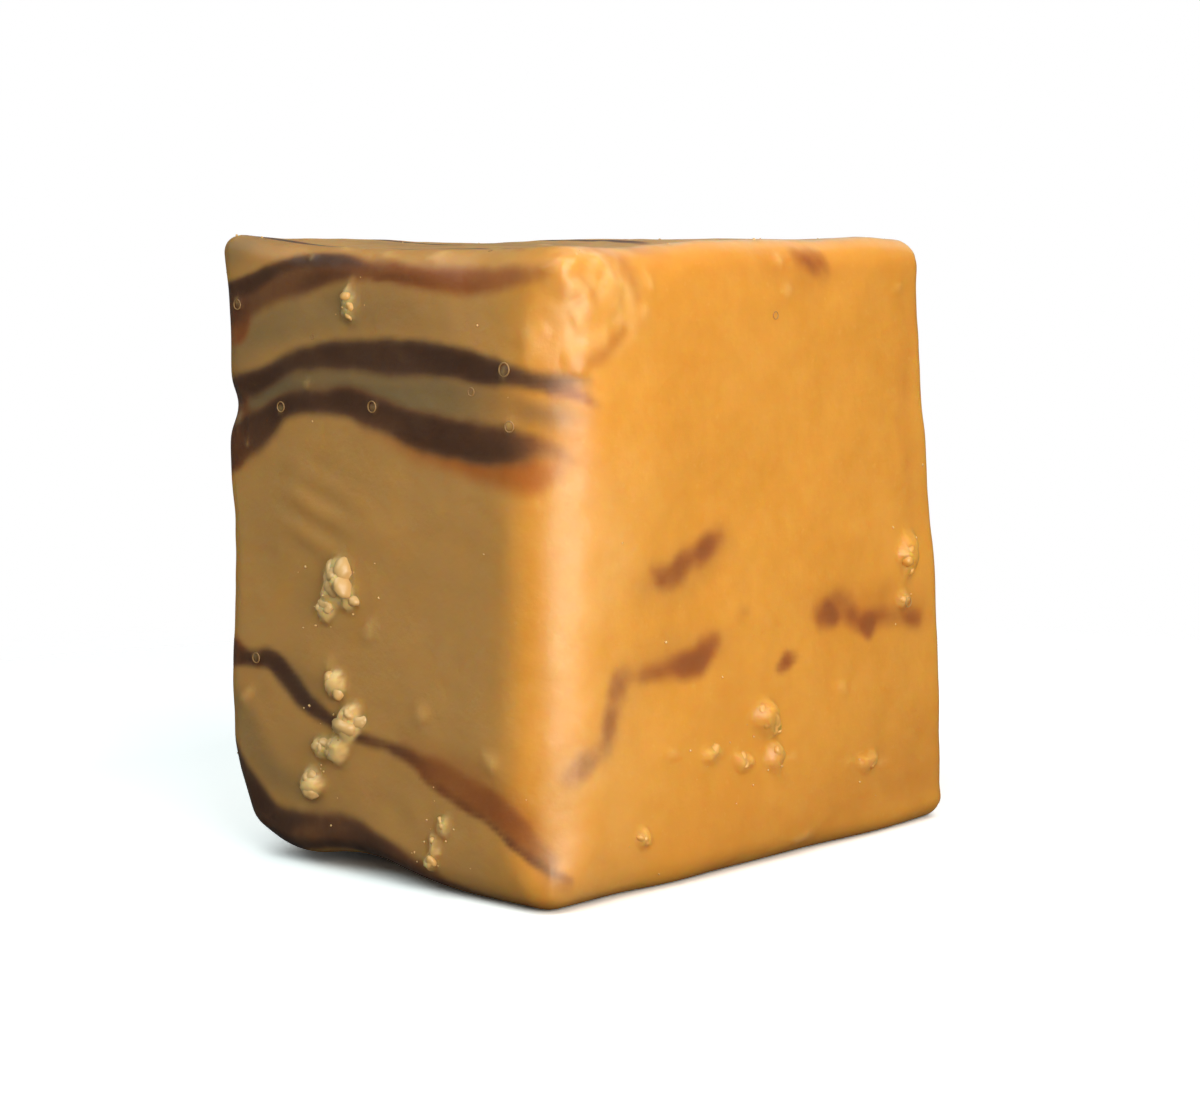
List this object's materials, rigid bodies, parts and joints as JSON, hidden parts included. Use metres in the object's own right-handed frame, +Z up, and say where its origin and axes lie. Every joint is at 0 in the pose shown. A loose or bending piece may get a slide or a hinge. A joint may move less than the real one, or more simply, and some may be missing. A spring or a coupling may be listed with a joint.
{
  "type": "piece of fudge",
  "caption": "Hand-cut block of marbled caramel fudge with softly rounded edges, a worn front edge and pale sugar crumbs, standing on a cut side.",
  "frame": {"origin": "centre of the bottom of the piece's box, on the surface that it stands on", "axes": "+Z up; +Y across the slab's thickness, the block's shortest way, from the broad plain side to the back; the narrow streaked side looks along -X"},
  "size_m": [0.0308, 0.0228, 0.0302],
  "materials": {
    "fudge": "soft waxy caramel with dark chocolate marbling"
  },
  "bodies": {
    "root": {"fudge": "fudge"}
  },
  "joints": []
}
